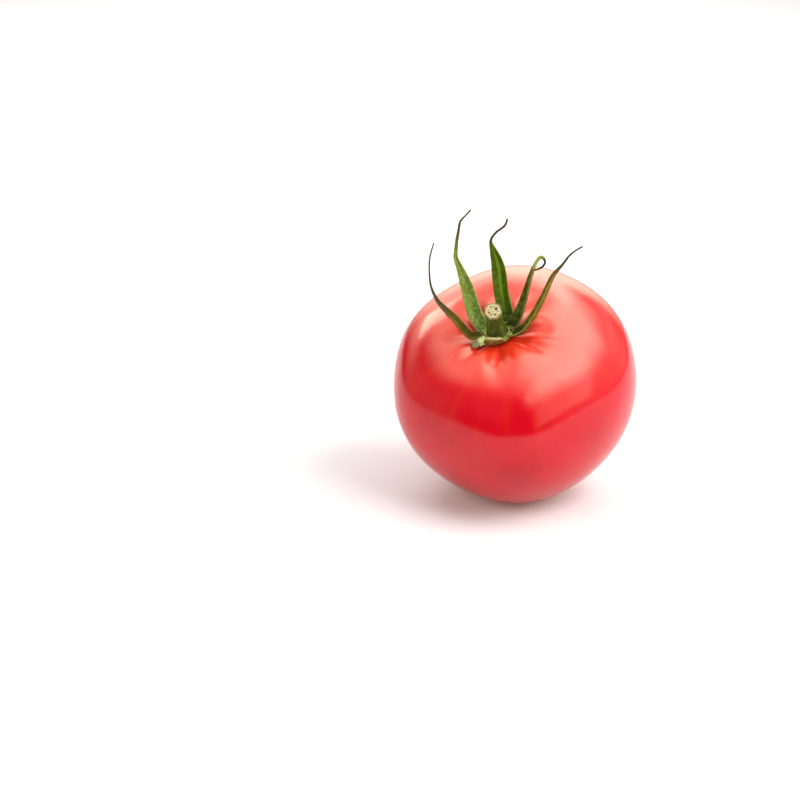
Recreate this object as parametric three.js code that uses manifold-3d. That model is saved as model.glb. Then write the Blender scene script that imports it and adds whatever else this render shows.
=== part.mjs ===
// A ripe round tomato that lies tilted on a small flat spot, with its green calyx and a cut piece of stem.
// Units are millimetres and +Z is up. The origin is the middle of the flat spot that the fruit rests on.

import * as THREE from "three";
import { mergeVertices } from "three/addons/utils/BufferGeometryUtils.js";
import Module from "manifold-3d";

// ---- Driving dimensions -------------------------------------------------------------------------------------

// The fruit has an axis of its own, from the blossom end below to the calyx above.
const FRUIT_RADIUS = 38.3;
const CROWN_HEIGHT = 27.9; // from the widest section up to the crown, before the dip is sunk into it
const BASE_DEPTH = 37.6; // from the widest section down to the blossom end
const CROWN_SQUARENESS = 2.27; // 2 gives a true ellipse, and more gives a fuller shoulder
const BASE_SQUARENESS = 2.04;
const DIP_DEPTH = 4.1; // the hollow round the calyx
const DIP_RADIUS = 11;
const BLOSSOM_DENT_DEPTH = 0.8;
const BLOSSOM_DENT_RADIUS = 4.5;

// Shallow lobes round the girth: how many, how strong as a share of the radius, and where the first crest is.
const LOBES = [
  { count: 3, swell: 0.015, angle: 30 },
  { count: 4, swell: 0.014, angle: 0 },
  { count: 5, swell: 0.014, angle: -7 },
  { count: 6, swell: 0.014, angle: 30 },
];

// Furrows that run outwards from the calyx: direction and half width in degrees, depth and reach in mm.
const FURROWS = [
  { angle: -141, spread: 9, depth: 0.9, reach: 19 },
  { angle: -88, spread: 13, depth: 1.1, reach: 27 },
  { angle: -27, spread: 10, depth: 1.0, reach: 36 },
  { angle: -2, spread: 11, depth: 1.2, reach: 26 },
  { angle: 45, spread: 12, depth: 1.0, reach: 24 },
  { angle: 88, spread: 11, depth: 0.9, reach: 22 },
  { angle: 130, spread: 12, depth: 1.0, reach: 24 },
  { angle: 179, spread: 13, depth: 1.1, reach: 25 },
];
const FURROW_START = 2; // furrows begin to sink at this radius and are full at FURROW_FULL
const FURROW_FULL = 9;

// How the fruit lies: spun about its own axis, then leaned over, then turned about the vertical.
const SPIN = THREE.MathUtils.degToRad(16);
const LEAN = THREE.MathUtils.degToRad(37);
const TURN = THREE.MathUtils.degToRad(-20);
const FLAT_DEPTH = 0.9; // how much of the round underside the flat spot takes off

// The calyx stands in the dip. Its own frame has its origin at the bottom of the dip and +Z along the fruit's axis.
const DISC_CENTRE = [0, 0.3];
// Radius and height, from the middle of the underside round to the middle of the top.
const DISC_PROFILE = [
  [0, 0.4],
  [2.4, 0.55],
  [3.5, 0.9],
  [3.9, 1.3],
  [3.5, 1.75],
  [2.2, 1.65],
  [0, 1.6],
];
const DISC_SIDES = 24;

// The stem bends a little towards -Y, and is widest where it leaves the disc.
const STEM_ROUTE = [
  [0, 0.5, 2.3],
  [0.1, 0.6, 5.5],
  [0.8, 0.3, 10],
  [1.7, -0.6, 14.1],
];
const STEM_DIAMETERS = [6.0, 5.3, 4.9, 5.0, 5.3];

const SEPAL_THICKNESS = 0.7;
const DRY_GREEN = "#6f6a35";
const LEAF_GREEN = "#4c7a1e";

// Each sepal has a route for its midrib, its widths at even steps along that route,
// and the direction across the blade at its foot and at its tip.
const SEPALS = [
  {
    name: "sepal_far_left",
    route: [
      [-5.2, -0.4, 2.2], [-7.9, -1.0, 3.0], [-9.4, -0.5, 4.7], [-11.8, 1.5, 8.5], [-14.1, 3.0, 12.0],
      [-16.0, 4.5, 15.5], [-16.9, 6.7, 20.0], [-16.3, 8.6, 25.0], [-15.3, 10.5, 29.0], [-13.2, 12.8, 33.0],
    ],
    widths: [1.6, 2.4, 2.6, 2.0, 1.2, 0.8, 0.7, 0.6],
    across: [[0.1, 1, -0.1], [0.5, 0.8, 0]],
    color: LEAF_GREEN,
  },
  {
    name: "sepal_left",
    route: [
      [-4.6, 2.3, 2.1], [-5.5, 3.9, 3.2], [-6.7, 6.2, 5.0], [-7.8, 11.0, 8.5], [-8.6, 14.1, 11.5],
      [-9.6, 17.1, 14.5], [-10.3, 18.8, 16.5], [-10.0, 20.4, 18.5], [-9.2, 22.5, 21.0], [-8.2, 23.8, 23.5],
      [-7.1, 25.5, 26.0], [-4.7, 26.3, 28.0], [-3.1, 26.8, 29.5],
    ],
    widths: [3.2, 4.3, 4.2, 3.8, 2.9, 1.6, 1.1, 0.9, 0.7, 0.6],
    across: [[0.9, 0.4, 0], [0.9, 0.2, 0]],
    color: LEAF_GREEN,
  },
  {
    name: "sepal_back",
    route: [
      [3.1, 4.3, 2.2], [2.8, 6.8, 4.2], [2.2, 11.5, 8.0], [2.3, 14.8, 11.5], [2.3, 17.0, 14.5],
      [1.7, 19.3, 17.5], [1.3, 21.2, 20.5], [3.2, 22.4, 22.5], [6.5, 23.3, 24.5], [7.6, 24.2, 26.5],
    ],
    widths: [2.8, 4.4, 4.4, 4.3, 4.2, 3.4, 1.4, 0.8, 0.6],
    across: [[1, 0.1, 0], [1, 0, 0]],
    color: LEAF_GREEN,
  },
  {
    name: "sepal_curled",
    route: [
      [4.9, 1.9, 2.2], [6.6, 3.2, 3.9], [8.9, 5.6, 7.0], [10.8, 8.4, 10.5], [12.7, 11.2, 14.0],
      [15.4, 13.7, 17.0], [17.0, 13.7, 18.5], [18.2, 12.0, 19.5], [18.4, 10.8, 19.8], [17.4, 9.8, 19.3],
      [15.6, 9.7, 18.3],
    ],
    widths: [2.4, 3.4, 3.0, 2.6, 2.4, 2.0, 1.6, 1.2, 0.8],
    across: [[0.75, -0.65, 0], [0.1, -0.55, 0.8]],
    color: LEAF_GREEN,
  },
  {
    name: "sepal_right",
    route: [
      [5.0, -0.9, 1.9], [8.4, -1.0, 3.5], [11.4, -0.1, 6.7], [14.7, 2.1, 10.5], [17.6, 4.4, 14.5],
      [20.3, 7.0, 18.0], [23.8, 8.8, 21.0], [25.9, 10.0, 23.0], [28.2, 10.7, 24.5], [30.5, 11.1, 25.5],
    ],
    widths: [1.8, 2.2, 2.2, 2.2, 2.0, 1.5, 0.9, 0.7, 0.6],
    across: [[0, -1, 0.1], [0.3, -0.9, 0.2]],
    color: LEAF_GREEN,
  },
  {
    name: "sepal_front",
    route: [[-0.4, -4.2, 1.5], [-0.5, -4.5, 2.6], [-0.4, -4.1, 3.9], [-0.3, -3.5, 5.1]],
    widths: [4.8, 6.0, 5.8, 5.0],
    across: [[1, 0, 0], [1, 0, 0]],
    color: DRY_GREEN,
  },
  {
    name: "sepal_broken",
    route: [[-3.9, -2.4, 2.1], [-5.3, -3.2, 2.3], [-6.7, -3.8, 2.3], [-7.9, -4.1, 2.2]],
    widths: [1.7, 2.0, 1.9, 1.5],
    across: [[-0.3, 1, 0.1], [-0.3, 1, 0.1]],
    color: DRY_GREEN,
  },
];

const FRUIT_SIDES = 48;
const FRUIT_ROWS = 30;
const STRIP_SIDES = 8;
const STRIP_STEP = 2.2; // distance between sections along a sepal
const STEM_SIDES = 14;
const STEM_STEPS = 6;

// ---- Shape of the fruit -------------------------------------------------------------------------------------

const smoothstep = THREE.MathUtils.smoothstep;

// One way round a superellipse: a power of a sine or cosine that keeps its sign.
const rounded = (value, squareness) => Math.sign(value) * Math.abs(value) ** (2 / squareness);

// How far the girth swells or shrinks at an angle, as a share of the radius.
function lobeSwell(angle) {
  return LOBES.reduce(
    (sum, lobe) => sum + lobe.swell * Math.cos(lobe.count * (angle - THREE.MathUtils.degToRad(lobe.angle))),
    0,
  );
}

// How deep the furrows are at an angle and a distance from the fruit's axis.
function furrowDepth(angle, radius) {
  const start = smoothstep(radius, FURROW_START, FURROW_FULL);
  return FURROWS.reduce((sum, furrow) => {
    const away = THREE.MathUtils.euclideanModulo(
      THREE.MathUtils.radToDeg(angle) - furrow.angle + 180, 360) - 180;
    const fade = Math.max(0, 1 - (radius / furrow.reach) ** 2) ** 2;
    return sum + furrow.depth * Math.exp(-((away / furrow.spread) ** 2)) * start * fade;
  }, 0);
}

// A point of the skin, for a polar angle counted from the calyx and an angle round the axis.
function skinPoint(polar, angle) {
  const upper = polar < Math.PI / 2;
  const squareness = upper ? CROWN_SQUARENESS : BASE_SQUARENESS;
  const weight = Math.sin(polar) ** 2 * (0.6 + 0.4 * Math.cos(polar)); // lobes fade out towards both ends
  const radius = FRUIT_RADIUS * rounded(Math.sin(polar), squareness) * (1 + lobeSwell(angle) * weight);
  let height = (upper ? CROWN_HEIGHT : BASE_DEPTH) * rounded(Math.cos(polar), squareness);
  if (upper) {
    height -= DIP_DEPTH * Math.exp(-((radius / DIP_RADIUS) ** 2)) + furrowDepth(angle, radius);
  } else {
    height += BLOSSOM_DENT_DEPTH * Math.exp(-((radius / BLOSSOM_DENT_RADIUS) ** 2));
  }
  return new THREE.Vector3(radius * Math.cos(angle), radius * Math.sin(angle), height);
}

// A ball whose poles are on the fruit's axis, with each of its points moved onto the skin.
function wholeFruitGeometry() {
  const geometry = new THREE.SphereGeometry(1, FRUIT_SIDES, FRUIT_ROWS).rotateX(Math.PI / 2);
  const points = geometry.getAttribute("position");
  const point = new THREE.Vector3();
  for (let i = 0; i < points.count; i += 1) {
    point.fromBufferAttribute(points, i);
    const polar = Math.acos(THREE.MathUtils.clamp(point.z, -1, 1));
    points.setXYZ(i, ...skinPoint(polar, Math.atan2(point.y, point.x)));
  }
  return geometry;
}

// ---- How the fruit lies -------------------------------------------------------------------------------------

const pose = new THREE.Matrix4()
  .makeRotationZ(TURN)
  .multiply(new THREE.Matrix4().makeRotationX(LEAN))
  .multiply(new THREE.Matrix4().makeRotationZ(SPIN));

// The lowest point of the leaned underside, taken as half an ellipsoid, seen from the middle of the fruit.
function lowestPoint() {
  const down = new THREE.Vector3(0, 0, -1).transformDirection(pose.clone().invert());
  const reach = new THREE.Vector3(FRUIT_RADIUS, FRUIT_RADIUS, BASE_DEPTH).multiply(down);
  const point = new THREE.Vector3(FRUIT_RADIUS, FRUIT_RADIUS, BASE_DEPTH).multiply(reach);
  return point.divideScalar(reach.length()).applyMatrix4(pose);
}

const fruitCentre = lowestPoint().negate().sub(new THREE.Vector3(0, 0, FLAT_DEPTH));
const fruitMatrix = new THREE.Matrix4().makeTranslation(fruitCentre).multiply(pose);

// ---- Solids -------------------------------------------------------------------------------------------------

const wasm = await Module();
wasm.setup();

function toSolid(geometry) {
  const bare = geometry.clone();
  bare.deleteAttribute("normal");
  bare.deleteAttribute("uv");
  const merged = mergeVertices(bare, 1e-4);
  return new wasm.Manifold(
    new wasm.Mesh({
      numProp: 3,
      vertProperties: new Float32Array(merged.getAttribute("position").array),
      triVerts: new Uint32Array(merged.index.array),
    }),
  );
}

function toGeometry(solid) {
  const mesh = solid.getMesh();
  const geometry = new THREE.BufferGeometry();
  geometry.setAttribute("position", new THREE.BufferAttribute(new Float32Array(mesh.vertProperties), 3));
  geometry.setIndex(new THREE.BufferAttribute(new Uint32Array(mesh.triVerts), 1));
  geometry.computeVertexNormals();
  return geometry;
}

// The fruit where it lies, with everything below the resting plane cut off flat.
function restingFruitGeometry() {
  const whole = wholeFruitGeometry().applyMatrix4(fruitMatrix);
  const side = 4 * FRUIT_RADIUS;
  const below = new THREE.BoxGeometry(side, side, side).translate(0, 0, -side / 2);
  return toGeometry(toSolid(whole).subtract(toSolid(below)));
}

// ---- Pieces of the calyx ------------------------------------------------------------------------------------

// A value read from a list of evenly spaced ones, for a share of the way along it.
function along(values, share) {
  const place = share * (values.length - 1);
  const index = Math.min(Math.floor(place), values.length - 2);
  return THREE.MathUtils.lerp(values[index], values[index + 1], place - index);
}

// A closed bar that follows a route. Its section is an ellipse of the given width and thickness at each share of
// the way, and the section's width lies as near as it can to the direction across.
function sweptGeometry(route, sides, steps, width, thickness, across) {
  const curve = new THREE.CatmullRomCurve3(route.map((point) => new THREE.Vector3(...point)));
  const geometry = new THREE.CylinderGeometry(0.5, 0.5, 1, sides, steps);
  const points = geometry.getAttribute("position");
  const corner = new THREE.Vector3();
  for (let i = 0; i < points.count; i += 1) {
    corner.fromBufferAttribute(points, i);
    const share = THREE.MathUtils.clamp(corner.y + 0.5, 0, 1);
    const tangent = curve.getTangentAt(share);
    const widthways = across(share).projectOnPlane(tangent).normalize();
    const facing = new THREE.Vector3().crossVectors(widthways, tangent);
    const place = curve.getPointAt(share)
      .addScaledVector(widthways, corner.x * width(share))
      .addScaledVector(facing, corner.z * thickness(share));
    points.setXYZ(i, ...place);
  }
  geometry.computeVertexNormals();
  return geometry;
}

function sepalGeometry({ route, widths, across }) {
  const [atFoot, atTip] = across.map((direction) => new THREE.Vector3(...direction));
  const length = new THREE.CatmullRomCurve3(route.map((point) => new THREE.Vector3(...point))).getLength();
  const width = (share) => along(widths, share);
  const thickness = (share) => Math.min(SEPAL_THICKNESS, width(share));
  return sweptGeometry(
    route, STRIP_SIDES, Math.max(3, Math.round(length / STRIP_STEP)), width, thickness,
    (share) => atFoot.clone().lerp(atTip, share),
  );
}

function stemGeometry() {
  const diameter = (share) => along(STEM_DIAMETERS, share);
  return sweptGeometry(STEM_ROUTE, STEM_SIDES, STEM_STEPS, diameter, diameter, () => new THREE.Vector3(1, 0, 0));
}

function discGeometry() {
  const profile = DISC_PROFILE.map(([radius, height]) => new THREE.Vector2(radius, height));
  return new THREE.LatheGeometry(profile, DISC_SIDES).rotateX(Math.PI / 2);
}

// ---- The tomato ---------------------------------------------------------------------------------------------

function namedMesh(name, geometry, color, roughness) {
  const mesh = new THREE.Mesh(geometry, new THREE.MeshStandardMaterial({ color, roughness, metalness: 0 }));
  mesh.name = name;
  return mesh;
}

const calyx = new THREE.Group();
calyx.matrixAutoUpdate = false;
calyx.matrix.copy(fruitMatrix).multiply(new THREE.Matrix4().makeTranslation(0, 0, CROWN_HEIGHT - DIP_DEPTH));

const disc = namedMesh("calyx_disc", discGeometry(), "#7f9a45", 0.7);
disc.position.set(...DISC_CENTRE, 0);
calyx.add(disc, namedMesh("stem_stub", stemGeometry(), "#57791f", 0.6));
for (const sepal of SEPALS) {
  calyx.add(namedMesh(sepal.name, sepalGeometry(sepal), sepal.color, 0.65));
}

const tomato = new THREE.Group();
tomato.add(namedMesh("fruit", restingFruitGeometry(), "#d8121c", 0.3), calyx);

export default tomato;
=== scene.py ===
"""A ripe tomato with its green calyx and a cut stem, lying tilted on a pale surface.

All lengths inside the classes are millimetres, as a grower would give them, and become metres when a mesh
is made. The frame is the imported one: +Z up, with the origin in the middle of the flat spot that the fruit
rests on.
"""

import logging
import math
from contextlib import contextmanager
from dataclasses import dataclass
from enum import Enum
from typing import Callable, Iterator, Sequence, Union

import bpy
import numpy as np
from mathutils import Matrix, Vector, noise


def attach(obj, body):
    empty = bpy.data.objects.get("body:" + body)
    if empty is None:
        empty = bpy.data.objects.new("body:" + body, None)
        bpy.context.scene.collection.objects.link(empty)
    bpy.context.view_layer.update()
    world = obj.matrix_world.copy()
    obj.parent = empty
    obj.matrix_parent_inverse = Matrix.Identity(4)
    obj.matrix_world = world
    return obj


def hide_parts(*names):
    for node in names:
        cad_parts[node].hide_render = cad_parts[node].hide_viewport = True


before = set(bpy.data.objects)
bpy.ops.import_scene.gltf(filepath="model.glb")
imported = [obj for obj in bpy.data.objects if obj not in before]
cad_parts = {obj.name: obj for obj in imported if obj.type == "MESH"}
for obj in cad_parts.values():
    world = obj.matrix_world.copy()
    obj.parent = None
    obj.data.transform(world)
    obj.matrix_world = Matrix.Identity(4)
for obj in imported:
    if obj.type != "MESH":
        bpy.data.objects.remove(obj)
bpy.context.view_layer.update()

MM = 0.001
BODY = "root"
log = logging.getLogger("tomato")

Point = tuple[float, float, float]


# ---- Bench: operators that act on one piece ------------------------------------------------------


class Bench:
    """Blender's operators, held so that each acts on one piece and nothing else."""

    @staticmethod
    def take(piece: bpy.types.Object) -> None:
        """Makes one piece the only selected one, and the active one.

        Args:
            piece: the piece to act on next.
        """
        for other in bpy.context.selected_objects:
            other.select_set(False)
        piece.select_set(True)
        bpy.context.view_layer.objects.active = piece

    @staticmethod
    def start(name: str, primitive: Callable, **settings: object) -> bpy.types.Object:
        """Adds a primitive with nothing else selected.

        Args:
            name: the piece's name, which its mesh gets too.
            primitive: the operator that adds it.
            **settings: the operator's own settings.

        Returns:
            The new object.
        """
        for other in bpy.context.selected_objects:
            other.select_set(False)
        primitive(**settings)
        piece = bpy.context.active_object
        piece.name = name
        piece.data.name = name
        return piece

    @staticmethod
    @contextmanager
    def editing(piece: bpy.types.Object, kind: str = "FACE") -> Iterator[None]:
        """Edit mode on one piece, with nothing in its mesh selected.

        Args:
            piece: the piece to edit.
            kind: what is selected there: VERT, EDGE or FACE.

        Yields:
            Nothing. Edit mode ends with the block.
        """
        Bench.take(piece)
        bpy.ops.object.mode_set(mode="EDIT")
        bpy.ops.mesh.select_mode(type=kind)
        bpy.ops.mesh.select_all(action="DESELECT")
        try:
            yield
        finally:
            bpy.ops.object.mode_set(mode="OBJECT")

    @staticmethod
    def pick_faces(piece: bpy.types.Object, wanted: Callable[[Vector, Vector], bool]) -> int:
        """Selects the faces that a test accepts, from inside edit mode.

        Args:
            piece: the piece in edit mode.
            wanted: a test of a face's centre and normal.

        Returns:
            How many faces are selected.
        """
        bpy.ops.mesh.select_all(action="DESELECT")
        bpy.ops.object.mode_set(mode="OBJECT")
        chosen = [face for face in piece.data.polygons if wanted(face.center, face.normal)]
        for face in chosen:
            face.select = True
        bpy.ops.object.mode_set(mode="EDIT")
        return len(chosen)

    @staticmethod
    def modify(piece: bpy.types.Object, kind: str, **settings: object) -> None:
        """Adds a modifier and applies it at once.

        Args:
            piece: the piece to change.
            kind: the modifier's type.
            **settings: the modifier's own settings.
        """
        Bench.take(piece)
        modifier = piece.modifiers.new(kind.title(), kind)
        for key, value in settings.items():
            setattr(modifier, key, value)
        bpy.ops.object.modifier_apply(modifier=modifier.name)

    @staticmethod
    def points(piece: bpy.types.Object) -> np.ndarray:
        """The piece's vertices.

        Args:
            piece: the piece to read.

        Returns:
            One row of x, y and z for each vertex.
        """
        flat = np.empty(len(piece.data.vertices) * 3)
        piece.data.vertices.foreach_get("co", flat)
        return flat.reshape(-1, 3)

    @staticmethod
    def move_points(piece: bpy.types.Object, points: np.ndarray) -> None:
        """Puts the piece's vertices at new places."""
        piece.data.vertices.foreach_set("co", points.astype(np.float32).ravel())
        piece.data.update()

    @staticmethod
    def seat_points(piece: bpy.types.Object, points: np.ndarray, seat: Matrix) -> None:
        """Puts the piece's vertices at places that are given in the calyx's frame, in millimetres."""
        matrix = np.array(seat)
        Bench.move_points(piece, (points @ matrix[:3, :3].T + matrix[:3, 3]) * MM)

    @staticmethod
    def smooth(piece: bpy.types.Object, degrees: float = 180) -> None:
        """Shades the piece smooth, with an edge sharper than the angle left sharp."""
        Bench.take(piece)
        bpy.ops.object.shade_smooth_by_angle(angle=math.radians(degrees))

    @staticmethod
    def hand_over(piece: bpy.types.Object, finish: bpy.types.Material, slot: str, *nodes: str) -> None:
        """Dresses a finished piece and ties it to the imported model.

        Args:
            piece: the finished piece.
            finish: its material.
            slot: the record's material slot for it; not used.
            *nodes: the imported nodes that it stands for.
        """
        piece.data.materials.clear()
        piece.data.materials.append(finish)
        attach(piece, BODY)
        if nodes:
            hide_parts(*nodes)
        log.info("%s: %d faces", piece.name, len(piece.data.polygons))


# ---- Shader maths --------------------------------------------------------------------------------

Operand = Union["Value", float]


class Value:
    """A socket's value, which can be used in sums as a number can."""

    def __init__(self, tree: "Nodes", socket: bpy.types.NodeSocket) -> None:
        """Wraps one output socket of a tree."""
        self.tree = tree
        self.socket = socket

    def _math(self, operation: str, first: Operand, second: Operand = 0.0) -> "Value":
        """One Math node on two operands."""
        return self.tree.node("ShaderNodeMath", {"operation": operation}, {0: first, 1: second})

    def __add__(self, other: Operand) -> "Value":
        """self + other."""
        return self._math("ADD", self, other)

    __radd__ = __add__

    def __sub__(self, other: Operand) -> "Value":
        """self - other."""
        return self._math("SUBTRACT", self, other)

    def __rsub__(self, other: Operand) -> "Value":
        """other - self."""
        return self._math("SUBTRACT", other, self)

    def __mul__(self, other: Operand) -> "Value":
        """self * other."""
        return self._math("MULTIPLY", self, other)

    __rmul__ = __mul__

    def __truediv__(self, other: Operand) -> "Value":
        """self / other."""
        return self._math("DIVIDE", self, other)

    def __pow__(self, other: Operand) -> "Value":
        """self ** other."""
        return self._math("POWER", self, other)

    def __abs__(self) -> "Value":
        """The value without its sign."""
        return self._math("ABSOLUTE", self)

    def between(self, low: float, high: float) -> "Value":
        """A soft step from 0 at low to 1 at high, whichever is the larger.

        Args:
            low: the value at which the step is 0.
            high: the value at which it is 1.

        Returns:
            The step.
        """
        return self.tree.node(
            "ShaderNodeMapRange",
            {"interpolation_type": "SMOOTHSTEP"},
            {"Value": self, "From Min": low, "From Max": high},
        )

    def arctan2(self, other: "Value") -> "Value":
        """The angle whose tangent is self / other, in radians."""
        return self._math("ARCTAN2", self, other)


class Nodes:
    """A node tree that is built by sums of values."""

    def __init__(self, tree: bpy.types.NodeTree) -> None:
        """Takes the tree to build in."""
        self.tree = tree

    def node(self, kind: str, settings: dict, inputs: dict, output: Union[int, str] = 0) -> Value:
        """Adds any node.

        Args:
            kind: the node's type.
            settings: the node's own settings, which are set first.
            inputs: socket name or number to a Value or a plain value.
            output: which output is wanted.

        Returns:
            The wanted output.
        """
        made = self.tree.nodes.new(kind)
        for key, value in settings.items():
            setattr(made, key, value)
        for key, value in inputs.items():
            if isinstance(value, Value):
                self.tree.links.new(value.socket, made.inputs[key])
            else:
                made.inputs[key].default_value = value
        return Value(self, made.outputs[output])

    def object_place(self) -> Value:
        """Object coordinates."""
        return self.node("ShaderNodeTexCoord", {}, {}, "Object")

    def turned(self, vector: Value, centre: Point, turn: Point, scale: Point = (1, 1, 1)) -> Value:
        """Coordinates counted from a centre, in turned axes.

        Args:
            vector: the coordinates to move and turn.
            centre: where the new ones are zero.
            turn: how the new axes are turned, in radians.
            scale: the length of the new axes' units.

        Returns:
            The new coordinates.
        """
        return self.node(
            "ShaderNodeMapping",
            {"vector_type": "TEXTURE"},
            {"Vector": vector, "Location": centre, "Rotation": turn, "Scale": scale},
        )

    def parts(self, vector: Value) -> tuple[Value, Value, Value]:
        """The three numbers of a vector."""
        split = self.node("ShaderNodeSeparateXYZ", {}, {0: vector}).socket.node
        return tuple(Value(self, split.outputs[i]) for i in range(3))

    def joined(self, x: Operand, y: Operand, z: Operand) -> Value:
        """A vector of three numbers."""
        return self.node("ShaderNodeCombineXYZ", {}, {0: x, 1: y, 2: z})

    def noise(self, vector: Value, scale: float, detail: float = 2.0, roughness: float = 0.5) -> Value:
        """Smooth noise, around a half.

        Args:
            vector: the coordinates that it follows.
            scale: how many waves there are in one unit.
            detail: how many finer layers it has.
            roughness: how strong the finer layers are.

        Returns:
            The noise.
        """
        return self.node(
            "ShaderNodeTexNoise", {},
            {"Vector": vector, "Scale": scale, "Detail": detail, "Roughness": roughness},
        )

    def dots(self, vector: Value, scale: float) -> Value:
        """Distance to the nearest of many scattered points, in cells."""
        return self.node("ShaderNodeTexVoronoi", {"feature": "F1"}, {"Vector": vector, "Scale": scale})

    def mix(self, share: Operand, first: Union[Value, Sequence[float]],
            second: Union[Value, Sequence[float]]) -> Value:
        """A colour between two others.

        Args:
            share: 0 for the first colour and 1 for the second.
            first: a colour.
            second: a colour.

        Returns:
            The mixed colour.
        """
        first, second = (c if isinstance(c, Value) else (*c, 1) for c in (first, second))
        return self.node(
            "ShaderNodeMix", {"data_type": "RGBA"}, {"Factor": share, 6: first, 7: second}, 2
        )

    def bump(self, height: Value, strength: float, distance: float,
             under: Union[Value, None] = None) -> Value:
        """A normal bent by a height.

        Args:
            height: the height over the surface.
            strength: how much of the bend is used.
            distance: how far a height of 1 stands out, in metres.
            under: a normal that is already bent.

        Returns:
            The bent normal.
        """
        inputs = {"Height": height, "Strength": strength, "Distance": distance}
        if under is not None:
            inputs["Normal"] = under
        return self.node("ShaderNodeBump", {}, inputs)


class Shader(Nodes):
    """One material, with its Principled BSDF."""

    def __init__(self, name: str, **constants: object) -> None:
        """Makes the material.

        Args:
            name: the material's name.
            **constants: Principled sockets that are the same all over, with spaces written as underscores.
        """
        self.material = bpy.data.materials.new(name)
        self.material.use_nodes = True
        super().__init__(self.material.node_tree)
        self.surface = self.tree.nodes["Principled BSDF"]
        for key, value in constants.items():
            self.surface.inputs[key.replace("_", " ")].default_value = value

    def feed(self, socket: str, value: Value) -> None:
        """Links a value to one of the Principled BSDF's sockets."""
        self.tree.links.new(value.socket, self.surface.inputs[socket])


# ---- How the fruit lies --------------------------------------------------------------------------


@dataclass(frozen=True)
class Pose:
    """How the fruit lies: spun about its axis, leaned over, turned about the vertical and set down."""

    spin: float = 16.0
    lean: float = 37.0
    turn: float = -20.0
    flat_depth: float = 0.9

    def rotation(self) -> Matrix:
        """How the fruit's axes are turned.

        Returns:
            A 3 by 3 matrix.
        """
        turned = Matrix.Rotation(math.radians(self.turn), 3, "Z")
        leaned = Matrix.Rotation(math.radians(self.lean), 3, "X")
        return turned @ leaned @ Matrix.Rotation(math.radians(self.spin), 3, "Z")

    def centre(self, radius: float, base_depth: float) -> Vector:
        """Where the fruit's middle is once its underside is pressed flat_depth into the floor.

        Args:
            radius: half the fruit's width.
            base_depth: how deep its underside is, which is taken for half an ellipsoid.

        Returns:
            The middle of the widest section, in millimetres.
        """
        half = Vector((radius, radius, base_depth))
        reach = half * (self.rotation().transposed() @ Vector((0, 0, -1)))
        lowest = self.rotation() @ (half * reach / reach.length)
        return -lowest - Vector((0, 0, self.flat_depth))


# ---- Fruit ---------------------------------------------------------------------------------------


@dataclass(frozen=True)
class Lobe:
    """A wave round the girth: how many crests, how strong, and where the first one is."""

    count: int
    swell: float
    angle: float


@dataclass(frozen=True)
class Furrow:
    """A fold of the skin that runs outwards from the calyx, with its angle and spread in degrees."""

    angle: float
    spread: float
    depth: float
    reach: float


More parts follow.
